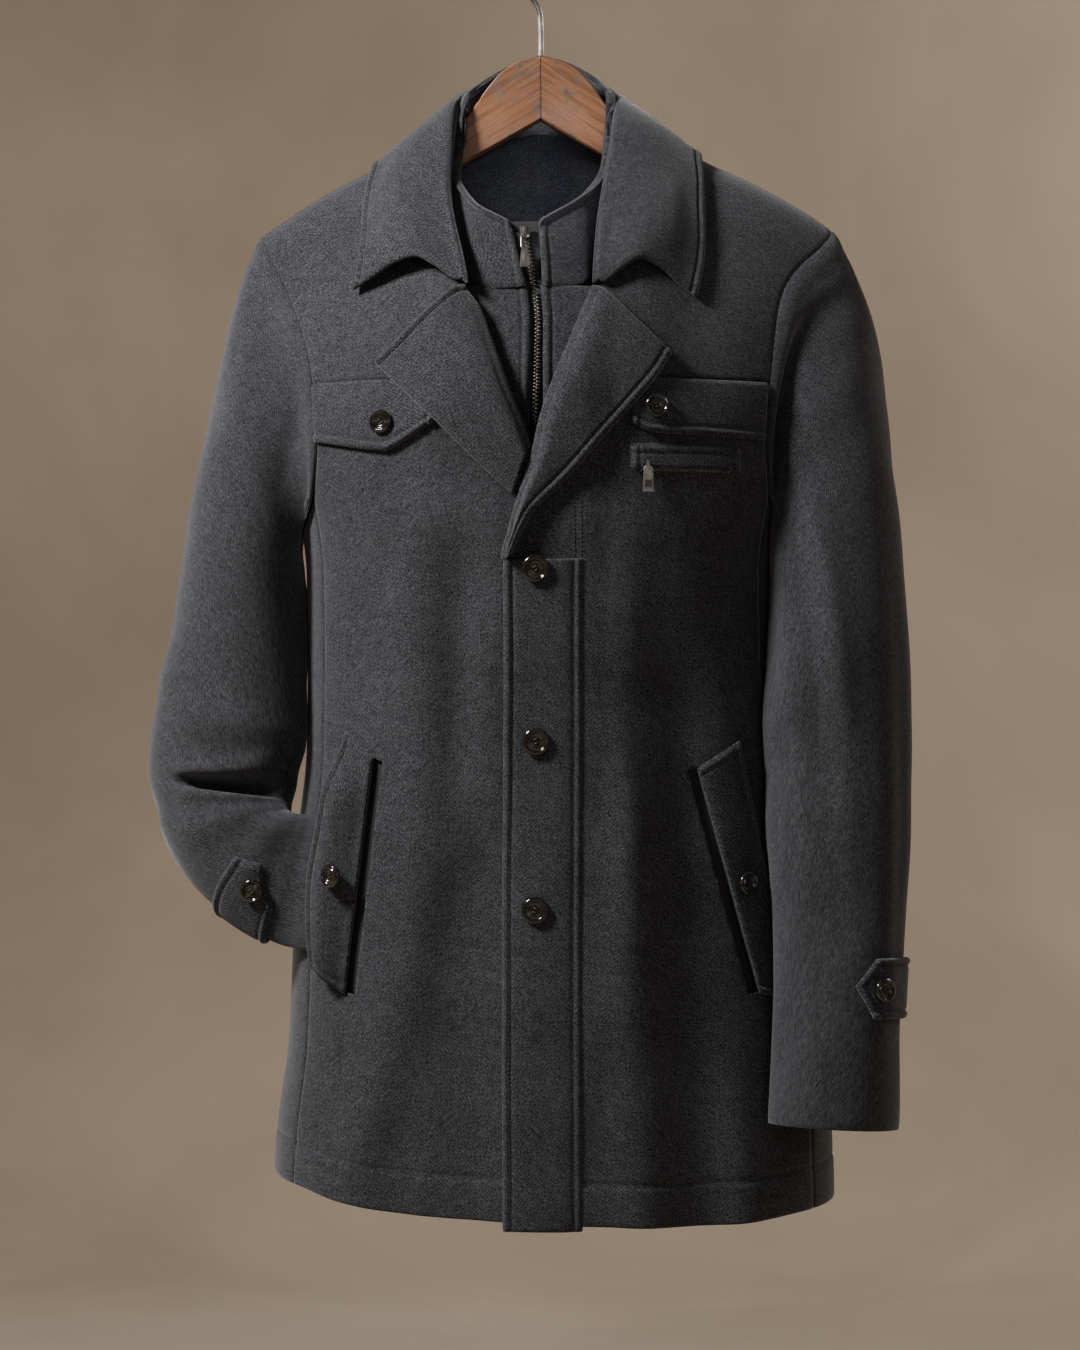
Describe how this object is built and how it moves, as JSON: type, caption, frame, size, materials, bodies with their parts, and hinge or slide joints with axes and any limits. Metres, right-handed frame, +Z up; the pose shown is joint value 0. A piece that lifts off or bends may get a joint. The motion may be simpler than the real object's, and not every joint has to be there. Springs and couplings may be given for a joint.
{
  "type": "wool overcoat on a wooden hanger",
  "caption": "Charcoal wool short overcoat on a wooden hanger, with a turned-down collar and lapels, a zipped inner bib, flapped, zipped and welt pockets, a buttoned front and cuff tabs.",
  "frame": {"origin": "the inside top of the hanger hook's bend, where a rail carries it", "axes": "+Z up, from the hem to the hook; -Y out of the buttoned front; +X to the wearer's left"},
  "size_m": [0.6019, 0.2423, 1.0071],
  "materials": {
    "wool": "charcoal melange wool twill, soft brushed nap",
    "pocket_cloth": "smooth black pocketing",
    "tape": "black woven zip tape",
    "button": "polished dark brown, four holes",
    "zip_metal": "gunmetal with a soft shine",
    "wood": "tan, worn lacquer",
    "steel": "bright wire"
  },
  "bodies": {
    "coat": {"front_right": "wool", "front_left": "wool", "yoke_right": "wool", "yoke_left": "wool", "side_panel_right": "wool", "side_panel_left": "wool", "back": "wool", "hand_welt_right": "wool", "hand_welt_left": "wool", "pocket_facing_right": "pocket_cloth", "pocket_facing_left": "pocket_cloth", "chest_flap_right": "wool", "chest_flap_left": "wool", "placket": "wool", "lapel_right": "wool", "lapel_left": "wool", "collar": "wool", "stand_collar": "wool", "bib_right": "wool", "bib_left": "wool", "zip_tape": "tape", "zip_chain": "zip_metal", "button_front_1": "button", "button_front_2": "button", "button_front_3": "button", "button_flap_right": "button", "button_flap_left": "button", "button_welt_right": "button", "button_welt_left": "button", "chest_welt": "wool", "chest_zip": "zip_metal", "sleeve_right": "wool", "sleeve_left": "wool", "cuff_tab_right": "wool", "cuff_tab_left": "wool", "button_cuff_right": "button", "button_cuff_left": "button", "zip_slider": "zip_metal", "hanger_wood": "wood", "hanger_hook": "steel"},
    "collar_zip_pull": {"zip_pull": "zip_metal"},
    "chest_zip_pull": {"pocket_pull": "zip_metal"}
  },
  "joints": [
    {"name": "collar_zip_pull_swing", "type": "hinge", "parent": "coat", "child": "collar_zip_pull", "pos_m": [-0.0124, -0.0866, -0.241], "axis": [-1, 0, 0], "range_deg": [0, 90]},
    {"name": "chest_zip_pull_swing", "type": "hinge", "parent": "coat", "child": "chest_zip_pull", "pos_m": [0.0812, -0.1249, -0.4176], "axis": [-1, 0, 0], "range_deg": [0, 80]}
  ]
}
